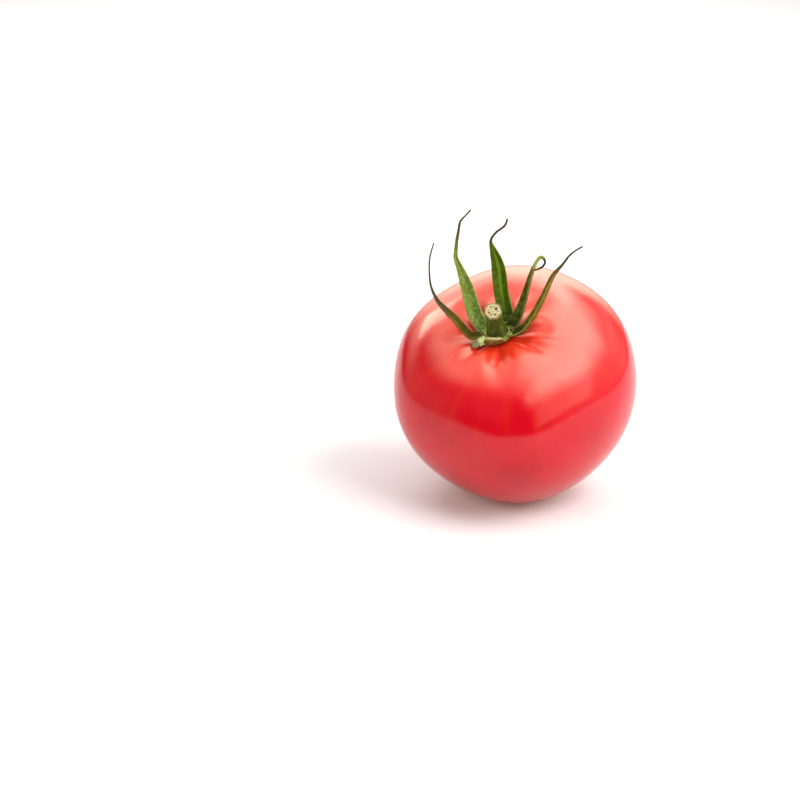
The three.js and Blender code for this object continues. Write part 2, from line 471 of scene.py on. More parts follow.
@dataclass
class Fruit:
    """The red fruit, with its crown dip, its furrows and the flat spot that it rests on."""

    radius: float = 38.3
    crown_height: float = 27.9
    base_depth: float = 37.6
    crown_squareness: float = 2.27
    base_squareness: float = 2.04
    dip_depth: float = 4.1
    dip_radius: float = 11.0
    dent_depth: float = 0.8
    dent_radius: float = 4.5
    furrow_start: float = 2.0
    furrow_full: float = 9.0
    knuckle_place: float = 11.5
    knuckle_rise: float = 0.4
    knuckle_width: float = 3.2
    knuckle_length: float = 3.4
    sides: int = 288
    rows: int = 168
    pose: Pose = Pose()
    lobes: tuple[Lobe, ...] = (
        Lobe(3, 0.015, 30), Lobe(4, 0.014, 0), Lobe(5, 0.014, -7), Lobe(6, 0.014, 30),
    )
    furrows: tuple[Furrow, ...] = (
        Furrow(-141, 9, 0.9, 19), Furrow(-88, 13, 1.1, 27), Furrow(-27, 10, 1.0, 36),
        Furrow(-2, 11, 1.2, 26), Furrow(45, 12, 1.0, 24), Furrow(88, 11, 0.9, 22),
        Furrow(130, 12, 1.0, 24), Furrow(179, 13, 1.1, 25),
    )

    def centre(self) -> Vector:
        """The middle of the widest section, in millimetres."""
        return self.pose.centre(self.radius, self.base_depth)

    def seat(self) -> Matrix:
        """The frame of the calyx: its origin in the bottom of the dip and +Z along the fruit's axis."""
        up = Vector((0, 0, self.crown_height - self.dip_depth))
        return Matrix.Translation(self.centre() + self.pose.rotation() @ up) @ self.pose.rotation().to_4x4()

    def skin(self, polar: np.ndarray, angle: np.ndarray) -> np.ndarray:
        """Points of the skin in the fruit's own axes.

        Args:
            polar: angles counted from the calyx, in radians.
            angle: angles round the axis, in radians.

        Returns:
            One row for each pair of angles.
        """
        upper = polar < math.pi / 2
        power = np.where(upper, 2 / self.crown_squareness, 2 / self.base_squareness)
        swell = sum(
            lobe.swell * np.cos(lobe.count * (angle - math.radians(lobe.angle))) for lobe in self.lobes
        )
        weight = np.sin(polar) ** 2 * (0.6 + 0.4 * np.cos(polar))
        radius = self.radius * np.abs(np.sin(polar)) ** power * (1 + swell * weight)
        tall = np.where(upper, self.crown_height, self.base_depth)
        height = tall * np.sign(np.cos(polar)) * np.abs(np.cos(polar)) ** power
        dip = self.dip_depth * np.exp(-((radius / self.dip_radius) ** 2))
        dent = self.dent_depth * np.exp(-((radius / self.dent_radius) ** 2))
        crown = self.knuckle_height(angle, radius) - self.furrow_depth(angle, radius) - dip
        height += np.where(upper, crown, dent)
        return np.stack([radius * np.cos(angle), radius * np.sin(angle), height], axis=1)

    def furrow_depth(self, angle: np.ndarray, radius: np.ndarray) -> np.ndarray:
        """How deep the furrows are.

        Args:
            angle: angles round the axis, in radians.
            radius: distances from the axis.

        Returns:
            The depth at each of them.
        """
        share = np.clip((radius - self.furrow_start) / (self.furrow_full - self.furrow_start), 0, 1)
        start = share * share * (3 - 2 * share)
        depth = np.zeros_like(radius)
        for furrow in self.furrows:
            away = (np.degrees(angle) - furrow.angle + 180) % 360 - 180
            fade = np.maximum(0, 1 - (radius / furrow.reach) ** 2) ** 2
            depth += furrow.depth * np.exp(-((away / furrow.spread) ** 2)) * start * fade
        return depth

    def knuckle_height(self, angle: np.ndarray, radius: np.ndarray) -> np.ndarray:
        """How high the skin swells midway between neighbouring furrows.

        Args:
            angle: angles round the axis, in radians.
            radius: distances from the axis.

        Returns:
            The height at each of them.
        """
        height = np.zeros_like(radius)
        beyond = (radius - self.knuckle_place) / self.knuckle_length
        for first, second in zip(self.furrows, self.furrows[1:] + self.furrows[:1]):
            middle = first.angle + (second.angle - first.angle) % 360 / 2
            turn = np.radians((np.degrees(angle) - middle + 180) % 360 - 180)
            away = turn * radius / self.knuckle_width
            height += self.knuckle_rise * np.exp(-(away ** 2) - beyond ** 2)
        return height

    def build(self) -> bpy.types.Object:
        """Makes the fruit.

        Returns:
            The fruit, without its finish.
        """
        piece = Bench.start(
            "fruit_skin", bpy.ops.mesh.primitive_uv_sphere_add,
            segments=self.sides, ring_count=self.rows, radius=1,
        )
        ball = Bench.points(piece)
        polar = np.arccos(np.clip(ball[:, 2], -1, 1))
        own = self.skin(polar, np.arctan2(ball[:, 1], ball[:, 0]))
        placed = own @ np.array(self.pose.rotation()).T + np.array(self.centre())
        Bench.move_points(piece, placed * MM)
        with Bench.editing(piece, "VERT"):
            bpy.ops.mesh.select_all(action="SELECT")
            bpy.ops.mesh.bisect(plane_co=(0, 0, 0), plane_no=(0, 0, 1), clear_inner=True, use_fill=True)
        Bench.smooth(piece, 60)
        return piece


# ---- Routes and blades ---------------------------------------------------------------------------


class Route:
    """A smooth line through chosen points, read by its share of the whole length."""

    def __init__(self, points: Sequence[Point], steps: int = 24) -> None:
        """Draws the line.

        Args:
            points: the points that it passes through.
            steps: straight pieces between two neighbouring points.
        """
        given = np.array(points, float)
        ends = np.vstack([2 * given[0] - given[1], given, 2 * given[-1] - given[-2]])
        drawn = [given[:1]]
        for a, b, c, d in zip(ends, ends[1:], ends[2:], ends[3:]):
            drawn.append(self._span(a, b, c, d, np.linspace(0, 1, steps + 1)[1:]))
        self.line = np.vstack(drawn)
        runs = np.linalg.norm(np.diff(self.line, axis=0), axis=1)
        self.length = float(runs.sum())
        self.shares = np.concatenate([[0], np.cumsum(runs)]) / self.length

    @staticmethod
    def _span(a: np.ndarray, b: np.ndarray, c: np.ndarray, d: np.ndarray, share: np.ndarray) -> np.ndarray:
        """A centripetal Catmull-Rom span.

        Args:
            a: the point before the span.
            b: the span's first point.
            c: the span's last point.
            d: the point after the span.
            share: shares of the way from b to c.

        Returns:
            Points of the span, one row for each share.
        """
        t0 = 0.0
        t1 = t0 + np.linalg.norm(b - a) ** 0.5
        t2 = t1 + np.linalg.norm(c - b) ** 0.5
        t3 = t2 + np.linalg.norm(d - c) ** 0.5
        t = (t1 + share * (t2 - t1))[:, None]
        ab = (t1 - t) / (t1 - t0) * a + (t - t0) / (t1 - t0) * b
        bc = (t2 - t) / (t2 - t1) * b + (t - t1) / (t2 - t1) * c
        cd = (t3 - t) / (t3 - t2) * c + (t - t2) / (t3 - t2) * d
        abc = (t2 - t) / (t2 - t0) * ab + (t - t0) / (t2 - t0) * bc
        bcd = (t3 - t) / (t3 - t1) * bc + (t - t1) / (t3 - t1) * cd
        return (t2 - t) / (t2 - t1) * abc + (t - t1) / (t2 - t1) * bcd

    def at(self, share: np.ndarray) -> np.ndarray:
        """Points of the line at shares of its length."""
        return np.stack([np.interp(share, self.shares, self.line[:, i]) for i in range(3)], axis=1)

    def tangents(self, share: np.ndarray) -> np.ndarray:
        """Directions of the line at shares of its length.

        Args:
            share: the shares, from 0 to 1.

        Returns:
            One unit direction for each share.
        """
        reach = 0.012
        ahead = self.at(np.clip(share + reach, 0, 1)) - self.at(np.clip(share - reach, 0, 1))
        return ahead / np.linalg.norm(ahead, axis=1, keepdims=True)


def along(values: Sequence[float], share: np.ndarray) -> np.ndarray:
    """Reads a list of evenly spaced values, smoothly.

    Args:
        values: the values, from the start to the end.
        share: shares of the way along them.

    Returns:
        The value at each share.
    """
    steps = 400
    blur = 0.8
    fine = np.linspace(0, 1, steps)
    rough = np.interp(fine, np.linspace(0, 1, len(values)), values)
    width = max(3, int(steps / len(values) * blur)) | 1
    padded = np.pad(rough, width // 2, mode="edge")
    return np.interp(share, fine, np.convolve(padded, np.ones(width) / width, mode="valid"))


def frames(route: Route, share: np.ndarray, across: tuple[Point, Point],
           twist: Sequence[float]) -> tuple[np.ndarray, np.ndarray, np.ndarray]:
    """Where a section stands and how it is turned, at shares of a route.

    Args:
        route: the line that the section follows.
        share: shares of the way along it.
        across: the section's width direction at the start and at the end.
        twist: extra turn about the line, in degrees, at even steps.

    Returns:
        Places, width directions and facing directions.
    """
    tangent = route.tangents(share)
    hint = np.outer(1 - share, across[0]) + np.outer(share, across[1])
    wide = hint - (hint * tangent).sum(1, keepdims=True) * tangent
    wide /= np.linalg.norm(wide, axis=1, keepdims=True)
    face = np.cross(wide, tangent)
    turn = np.radians(along(twist, share))[:, None]
    return (
        route.at(share),
        wide * np.cos(turn) + face * np.sin(turn),
        face * np.cos(turn) - wide * np.sin(turn),
    )


class DryAndShadedEnd(Enum):
    """How much of a sepal has withered, and on the curled sepal where the painted shade inside its curl
    begins.
    """

    # The curled sepal's range: from here its end is painted near black, as shade inside the curl.
    DRY_AND_SHADED_TIP = (0.80, 0.86)
    UPPER_HALF = (0.28, 0.50)
    LAST_THIRD = (0.60, 0.82)
    THREAD = (0.70, 0.76)
    RIM = (0.66, 0.92)
    CRUST = (0.45, 0.62)


@dataclass
class Sepal:
    """One leaf of the calyx, from its foot on the disc to its tip."""

    name: str
    route: Sequence[Point]
    widths: Sequence[float]
    across: tuple[Point, Point]
    cup: Sequence[float]
    dry_and_shaded_end: DryAndShadedEnd
    finish: "LeafFinish"
    slot: str = "sepal"
    twist: Sequence[float] = (0, 0)
    thick: Sequence[float] = (0.75, 0.5, 0.4, 0.36)
    wave: float = 0.12
    wave_grain: tuple[float, float] = (3.0, 0.16)
    midrib_groove: float = 0.10
    midrib_width: float = 0.16
    columns: int = 12
    step: float = 0.55

    def build(self, seat: Matrix) -> bpy.types.Object:
        """Makes the sepal.

        Args:
            seat: the calyx's frame, in millimetres.

        Returns:
            The sepal, without its finish.
        """
        route = Route(self.route)
        rows = max(10, round(route.length / self.step))
        piece = Bench.start(
            self.name + "_leaf", bpy.ops.mesh.primitive_grid_add,
            x_subdivisions=self.columns, y_subdivisions=rows, size=2,
        )
        flat = Bench.points(piece)
        side, share = flat[:, 0], (flat[:, 1] + 1) / 2
        place, wide, face = frames(route, share, self.across, self.twist)
        half = along(self.widths, share) / 2
        over, on = self.wave_grain
        ripple = np.array([
            noise.noise(Vector((s * rows * on, over * a, len(self.name)))) for a, s in zip(side, share)
        ])
        rise = along(self.cup, share) * (side ** 2 - 0.35) * half
        rise += self.wave * ripple * np.abs(side) ** 1.5 * np.minimum(half, 1.2)
        rise -= self.midrib_groove * np.exp(-((side / self.midrib_width) ** 2)) * np.minimum(half, 1.0)
        shaped = place + wide * (side * half)[:, None] + face * rise[:, None]
        Bench.seat_points(piece, shaped, seat)
        self._thicken(piece, share)
        Bench.smooth(piece)
        return piece

    def _thicken(self, piece: bpy.types.Object, share: np.ndarray) -> None:
        """Gives the blade its thickness, thinner towards the tip, and rounds its edges.

        Args:
            piece: the flat blade.
            share: how far along the sepal each of its points is.
        """
        thick = along(self.thick, share)
        group = piece.vertex_groups.new(name="thickness")
        for index, value in enumerate(thick / max(self.thick)):
            group.add([index], float(value), "REPLACE")
        Bench.modify(
            piece, "SOLIDIFY", thickness=max(self.thick) * MM, offset=0,
            vertex_group="thickness", use_even_offset=True,
        )
        piece.vertex_groups.clear()
        Bench.modify(piece, "SUBSURF", levels=1, render_levels=1)


# ---- Stem and disc -------------------------------------------------------------------------------


@dataclass
class Stem:
    """The cut piece of stem, with ribs along its side and a pale ringed cut."""

    route: Sequence[Point] = ((0, 0.5, 1.2), (0.1, 0.6, 5.5), (0.6, 0.3, 10), (1.2, -0.6, 14.1))
    diameters: Sequence[float] = (7.4, 6.2, 5.3, 4.9, 4.8, 4.9, 5.1, 5.3)
    sides: int = 48
    rows: int = 30
    ribs: int = 7
    rib_height: float = 0.10
    cut_rings: Sequence[tuple[float, float]] = (
        (0.05, 0.004), (0.05, 0.006), (0.20, -0.012), (0.16, -0.014), (0.10, 0.012), (0.18, 0.006),
    )

    def build(self, seat: Matrix) -> bpy.types.Object:
        """Makes the stem.

        Args:
            seat: the calyx's frame, in millimetres.

        Returns:
            The stem, without its finish.
        """
        piece = Bench.start(
            "stem", bpy.ops.mesh.primitive_cylinder_add,
            vertices=self.sides, radius=1, depth=1, end_fill_type="NGON",
        )
        self._ring_the_cut(piece)
        self._bend(piece, seat)
        Bench.modify(piece, "SUBSURF", levels=1, render_levels=1)
        Bench.smooth(piece, 50)
        return piece

    def _ring_the_cut(self, piece: bpy.types.Object) -> None:
        """Divides the side into rows, and sinks and raises rings in the cut end.

        Args:
            piece: the straight bar, one unit tall.
        """
        with Bench.editing(piece):
            for row in range(1, self.rows):
                height = row / self.rows - 0.5
                bpy.ops.mesh.select_all(action="SELECT")
                bpy.ops.mesh.bisect(plane_co=(0, 0, height), plane_no=(0, 0, 1))
            Bench.pick_faces(piece, lambda centre, normal: normal.z > 0.9 and centre.z > 0.49)
            for inset, lift in self.cut_rings:
                bpy.ops.mesh.inset(thickness=inset, depth=0)
                bpy.ops.transform.translate(value=(0, 0, lift))

    def _bend(self, piece: bpy.types.Object, seat: Matrix) -> None:
        """Puts the straight bar onto the stem's route, with its ribs and its flared foot.

        Args:
            piece: the straight bar, a unit wide and a unit long.
            seat: the calyx's frame, in millimetres.
        """
        bar = Bench.points(piece)
        share = np.clip(bar[:, 2] + 0.5, 0, 1)
        beyond = (bar[:, 2] + 0.5 - share) * Route(self.route).length
        place, wide, face = frames(Route(self.route), share, ((1, 0, 0), (1, 0, 0)), (0, 12))
        reach = np.hypot(bar[:, 0], bar[:, 1])
        angle = np.arctan2(bar[:, 1], bar[:, 0])
        rough = np.array([
            noise.noise(Vector((2.2 * math.cos(a), 2.2 * math.sin(a), 4 * s))) for a, s in zip(angle, share)
        ])
        ribbed = 1 + self.rib_height * (np.cos(self.ribs * angle) * 0.35 + rough * 0.6) * reach
        radius = along(self.diameters, share) / 2 * ribbed
        shaped = place + wide * (bar[:, 0] * radius)[:, None] + face * (bar[:, 1] * radius)[:, None]
        shaped += np.cross(face, wide) * -beyond[:, None]
        Bench.seat_points(piece, shaped, seat)


@dataclass
class Disc:
    """The small green cushion that the stem and the sepals grow from."""

    centre: tuple[float, float] = (0.2, 0.3)
    radii: tuple[float, float] = (4.6, 4.0)
    low: float = 0.35
    high: float = 1.9
    sides: int = 48
    rim_steps: Sequence[tuple[float, float]] = ((0.10, 0.10), (0.18, 0.05), (0.30, -0.02))
    under_share: float = -0.2

    def build(self, seat: Matrix) -> bpy.types.Object:
        """Makes the disc.

        Args:
            seat: the calyx's frame, in millimetres.

        Returns:
            The disc, without its finish.
        """
        piece = Bench.start(
            "calyx_cushion", bpy.ops.mesh.primitive_cylinder_add,
            vertices=self.sides, radius=1, depth=1, end_fill_type="NGON",
        )
        with Bench.editing(piece):
            for facing in (1, -1):
                Bench.pick_faces(piece, lambda centre, normal, facing=facing: normal.z * facing > 0.9)
                for inset, lift in self.rim_steps:
                    bpy.ops.mesh.inset(thickness=inset, depth=0)
                    bpy.ops.transform.translate(
                        value=(0, 0, lift * (1 if facing > 0 else self.under_share))
                    )
        Bench.modify(piece, "SUBSURF", levels=2, render_levels=2)
        self._shape(piece, seat)
        Bench.smooth(piece)
        return piece

    def _shape(self, piece: bpy.types.Object, seat: Matrix) -> None:
        """Makes the round cushion knobbly, dishes its underside and puts it in its place.

        Args:
            piece: the round cushion, a unit wide and a unit high.
            seat: the calyx's frame, in millimetres.
        """
        puck = Bench.points(piece)
        reach = np.hypot(puck[:, 0], puck[:, 1])
        lumps = np.array([noise.noise(Vector(p) * 2.3) for p in puck])
        fine = np.array([noise.noise(Vector(p) * 6.1 + Vector((7, 1, 3))) for p in puck])
        swell = 1 + 0.16 * lumps + 0.06 * fine
        bowl = 0.85 * reach ** 2
        height = self.low + bowl + (puck[:, 2] + 0.5) * (self.high - self.low - 0.55 * bowl)
        height += (0.35 * lumps + 0.15 * fine) * reach
        shaped = np.stack([
            self.centre[0] + puck[:, 0] * self.radii[0] * swell,
            self.centre[1] + puck[:, 1] * self.radii[1] * swell,
            height,
        ], axis=1)
        Bench.seat_points(piece, shaped, seat)


# ---- Finishes ------------------------------------------------------------------------------------


@dataclass(frozen=True)
class SkinFinish:
    """Ripe tomato skin: deep red, waxy, a little mottled, with tiny pale specks."""

    body: Point = (0.52, 0.001, 0.009)
    crown: Point = (0.58, 0.026, 0.004)
    shade: Point = (0.46, 0.001, 0.008)
    speck: Point = (0.95, 0.20, 0.10)
    scar: Point = (0.16, 0.07, 0.02)
    roughness: float = 0.14
    calyx_roughness: float = 0.14

    def material(self, fruit: Fruit) -> bpy.types.Material:
        """Makes the material.

        Args:
            fruit: the fruit, whose axes the pattern follows.

        Returns:
            The material.
        """
        shader = Shader(
            "tomato_skin", IOR=1.46, Subsurface_Weight=0.12, Subsurface_Scale=0.004,
            Subsurface_Radius=(1.0, 0.12, 0.06),
        )
        own = shader.turned(
            shader.object_place(), tuple(fruit.centre() * MM), tuple(fruit.pose.rotation().to_euler())
        )
        x, y, z = shader.parts(own)
        reach = (x * x + y * y) ** 0.5
        angle = y.arctan2(x)
        broad = shader.noise(own, 45, 3)
        fine = shader.noise(own, 900, 4, 0.6)
        streaks = shader.noise(shader.joined(angle * 7, reach * 60, 0), 1.0, 3)
        upper = z.between(-0.004, 0.022)
        near_calyx = reach.between(0.026, 0.006) * upper
        color = shader.mix(broad.between(0.40, 0.68), self.body, self.shade)
        color = shader.mix(near_calyx * 0.8 + upper * streaks.between(0.45, 0.75) * 0.25, color, self.crown)
        specks = shader.dots(own, 420).between(0.10, 0.03) * shader.noise(own, 110, 2).between(0.46, 0.60)
        color = shader.mix(specks * 0.35, color, self.speck)
        scar = reach.between(0.0016, 0.0007) * z.between(0.0, -0.02)
        color = shader.mix(scar, color, self.scar)
        shader.feed("Base Color", color)
        haze = self.roughness + near_calyx * self.calyx_roughness
        shader.feed("Roughness", haze + fine * 0.04 + scar * 0.4 + specks * 0.1)
        waves = shader.bump(shader.noise(own, 130, 2), 0.20, 0.0006)
        grain = shader.bump(fine - specks * 0.5, 0.05, 0.00012, waves)
        shader.feed("Normal", grain)
        return shader.material


@dataclass(frozen=True)
class LeafFinish:
    """Green sepal: a dark foot, a mottled body with a lighter midrib, a thin pale edge and a withered end;
    on the curled sepal a painted highlight lies on the curl's lit top and the end is painted near black as
    shade inside the curl.
    """

    name: str
    body: Point
    light: Point
    foot: Point = (0.040, 0.060, 0.006)
    edge: Point = (0.36, 0.26, 0.09)
    # Colours of the withered end; the curled sepal's are near black: painted shade inside the curl.
    dry_and_shaded: Point = (0.045, 0.034, 0.018)
    straw_and_shaded: Point = (0.17, 0.135, 0.06)
    foot_length: float = 0.30
    mottle: float = 0.5
    midrib: float = 0.5
    # how much of the light colour is laid on just before the end: a painted highlight on the curled sepal's
    # lit top
    painted_lit_end: float = 0.0
    blotches: float = 520

    def material(self, dry_and_shaded_end: DryAndShadedEnd) -> bpy.types.Material:
        """Makes the material.

        Args:
            dry_and_shaded_end: where along the sepal it withers, and on the curled sepal where its painted
                shade begins.

        Returns:
            The material.
        """
        shader = Shader(
            self.name, IOR=1.4, Specular_IOR_Level=0.06, Subsurface_Weight=0.08, Subsurface_Scale=0.001,
            Subsurface_Radius=(0.6, 1.0, 0.2),
        )
        u, v, _ = shader.parts(shader.node("ShaderNodeTexCoord", {}, {}, "UV"))
        place = shader.object_place()
        side = abs(u - 0.5) * 2
        blotch = shader.noise(place, self.blotches, 4, 0.6)
        grain = shader.noise(place, 2600, 3, 0.6)
        veins = shader.noise(shader.joined(u * 24, v * 3, 0), 1.0, 2)
        start, full = dry_and_shaded_end.value
        green = shader.mix((v + (blotch - 0.5) * 0.2).between(self.foot_length, 0.05), self.body, self.foot)
        color = shader.mix(blotch.between(0.46, 0.62) * self.mottle, green, self.light)
        # Painted highlight: on the curled sepal the light colour is laid on just before the end, where the
        # curl's top is lit.
        color = shader.mix(v.between(start - 0.22, start - 0.12) * self.painted_lit_end, color, self.light)
        color = shader.mix(veins.between(0.54, 0.74) * 0.30, color, self.light)
        midrib = side.between(0.40, 0.05) * v.between(0.10, 0.35)
        color = shader.mix(midrib * self.midrib, color, self.light)
        color = shader.mix(side.between(0.93, 1.0) * 0.45, color, self.edge)
        # Painted shade on the curled sepal: its end turns near black here, as shade inside the curl; on the
        # others this is the withered colour.
        aged_and_shaded = (v + (blotch - 0.5) * 0.12).between(start, full)
        dried_and_shaded = shader.mix(grain.between(0.42, 0.70), self.dry_and_shaded, self.straw_and_shaded)
        color = shader.mix(aged_and_shaded, color, dried_and_shaded)
        shader.feed("Base Color", color)
        shader.feed("Roughness", 0.50 + grain * 0.2 + aged_and_shaded * 0.2)
        ribs = shader.bump(veins, 0.6, 0.00018)
        shader.feed("Normal", shader.bump(blotch * 0.5 + grain * 0.5, 0.5, 0.00016, ribs))
        return shader.material


@dataclass(frozen=True)
class StemFinish:
    """Green ribbed bark, and a cream cut with a ring of brown strands round a pale heart."""

    bark: Point = (0.042, 0.060, 0.004)
    light: Point = (0.16, 0.20, 0.04)
    rim: Point = (0.30, 0.29, 0.11)
    cream: Point = (0.44, 0.37, 0.19)
    heart: Point = (0.40, 0.32, 0.17)
    strand: Point = (0.055, 0.032, 0.006)
    # near-black spot on the cut: painted shade of a small hollow that is not modelled
    pit_shade: Point = (0.008, 0.004, 0.001)
    strand_ring: tuple[float, float] = (0.30, 0.70)
    pit_place: tuple[float, float] = (0.85, 0.70)
    pit_size: float = 0.50

    def material(self, stem: Stem, seat: Matrix) -> bpy.types.Material:
        """Makes the material.

        Args:
            stem: the stem, whose cut end carries the rings.
            seat: the calyx's frame, in millimetres.

        Returns:
            The material.
        """
        route = Route(stem.route)
        tip = seat @ Vector(route.at(np.array([1.0]))[0])
        heading = seat.to_3x3() @ Vector(route.tangents(np.array([1.0]))[0])
        turn = heading.to_track_quat("Z", "Y").to_euler()
        shader = Shader("stem_green", IOR=1.4, Specular_IOR_Level=0.15)
        place = shader.object_place()
        x, y, z = shader.parts(shader.turned(place, tuple(tip * MM), tuple(turn)))
        reach = (x * x + y * y) ** 0.5 / (stem.diameters[-1] / 2 * MM)
        angle = y.arctan2(x)
        blotch = shader.noise(place, 700, 4, 0.6)
        grain = shader.noise(place, 3000, 3)
        lines = shader.noise(shader.joined(angle * 5, z * 120, 0), 1.0, 2)
        streaks = blotch.between(0.50, 0.70) * 0.5 + lines.between(0.5, 0.7) * 0.4
        bark = shader.mix(streaks, self.bark, self.light)
        bark = shader.mix(z.between(-0.0016, -0.0002) * 0.8, bark, self.rim)
        inner, outer = self.strand_ring
        ring = reach.between(inner, inner + 0.10) * reach.between(outer, outer - 0.10)
        specks = shader.noise(shader.joined(angle * 2.6, reach * 3.0, 0), 1.0, 2).between(0.46, 0.56)
        cut = shader.mix(reach.between(inner, inner - 0.1), self.cream, self.heart)
        cut = shader.mix(ring * specks * 0.9 + grain.between(0.52, 0.75) * 0.2, cut, self.strand)
        # Painted shade: a near-black spot stands for the shade inside a small hollow in the cut.
        hole = ((x - self.pit_place[0] * MM) ** 2 + (y - self.pit_place[1] * MM) ** 2) ** 0.5
        cut = shader.mix(hole.between(self.pit_size * MM, self.pit_size * MM * 0.6), cut, self.pit_shade)
        crust = shader.noise(shader.joined(angle * 6.5, reach * 3.0, 5), 1.0, 2).between(0.44, 0.60)
        cut = shader.mix(reach.between(0.78, 0.90) * (0.50 + crust * 0.5), cut, self.strand)
        on_cut = z.between(-0.0003, -0.0001) * reach.between(0.99, 0.93)
        shader.feed("Base Color", shader.mix(on_cut, bark, cut))
        shader.feed("Roughness", 0.55 + grain * 0.2 + on_cut * 0.15)
        shader.feed("Normal", shader.bump(blotch * 0.4 + grain * 0.3 + specks * on_cut * 0.5, 0.6, 0.0002))
        return shader.material


@dataclass(frozen=True)
class CushionFinish:
    """Pale knobbly green of the disc, with brown in patches that follow a noise."""

    green: Point = (0.13, 0.17, 0.02)
    pale: Point = (0.50, 0.53, 0.18)
    brown: Point = (0.10, 0.045, 0.008)

    def material(self) -> bpy.types.Material:
        """Makes the material.

        Returns:
            The material.
        """
        shader = Shader("calyx_green", IOR=1.4, Specular_IOR_Level=0.15)
        place = shader.object_place()
        blotch = shader.noise(place, 450, 4, 0.6)
        grain = shader.noise(place, 2200, 3)
        color = shader.mix(blotch.between(0.46, 0.62), self.green, self.pale)
        color = shader.mix(shader.noise(place, 300, 3).between(0.54, 0.66), color, self.brown)
        shader.feed("Base Color", color)
        shader.feed("Roughness", 0.6 + grain * 0.2)
        shader.feed("Normal", shader.bump(blotch * 0.6 + grain * 0.4, 0.7, 0.0003))
        return shader.material


# ---- Calyx ---------------------------------------------------------------------------------------

GREEN = LeafFinish(
    "leaf_green", (0.046, 0.074, 0.002), (0.15, 0.25, 0.012), mottle=0.3, midrib=0.9,
)
MOTTLED = LeafFinish(
    "leaf_mottled", (0.115, 0.17, 0.022), (0.29, 0.36, 0.085), foot=(0.085, 0.13, 0.026),
    mottle=0.55, midrib=0.15, blotches=1000,
)
BRONZE = LeafFinish(
    "leaf_bronze", (0.105, 0.066, 0.006), (0.16, 0.12, 0.015), foot=(0.060, 0.050, 0.004),
    edge=(0.20, 0.12, 0.03), mottle=0.4, midrib=0.15,
)
# The curled sepal: its pale light colour, laid on before the end, is a painted highlight on the curl's lit
# top, and its near-black end colours are painted shade inside the curl.
DARK = LeafFinish(
    "leaf_dark", (0.060, 0.058, 0.002), (0.34, 0.40, 0.12), foot=(0.030, 0.048, 0.004),
    dry_and_shaded=(0.006, 0.006, 0.002), straw_and_shaded=(0.03, 0.03, 0.012), mottle=0.15, midrib=0.05, painted_lit_end=1.0,
)
OLIVE = LeafFinish(
    "leaf_olive", (0.12, 0.085, 0.006), (0.24, 0.18, 0.025), mottle=0.5, midrib=0.4,
)
KNOB = LeafFinish(
    "leaf_knob", (0.40, 0.46, 0.15), (0.66, 0.68, 0.32), foot=(0.50, 0.54, 0.22),
    dry_and_shaded=(0.075, 0.060, 0.018), straw_and_shaded=(0.52, 0.50, 0.24), mottle=0.9, midrib=0.0, blotches=900,
)
WITHERED = LeafFinish(
    "leaf_withered", (0.12, 0.060, 0.010), (0.24, 0.16, 0.035), foot=(0.070, 0.024, 0.002),
    dry_and_shaded=(0.34, 0.27, 0.10), straw_and_shaded=(0.66, 0.60, 0.30), foot_length=0.6, mottle=0.4, midrib=0.0,
)

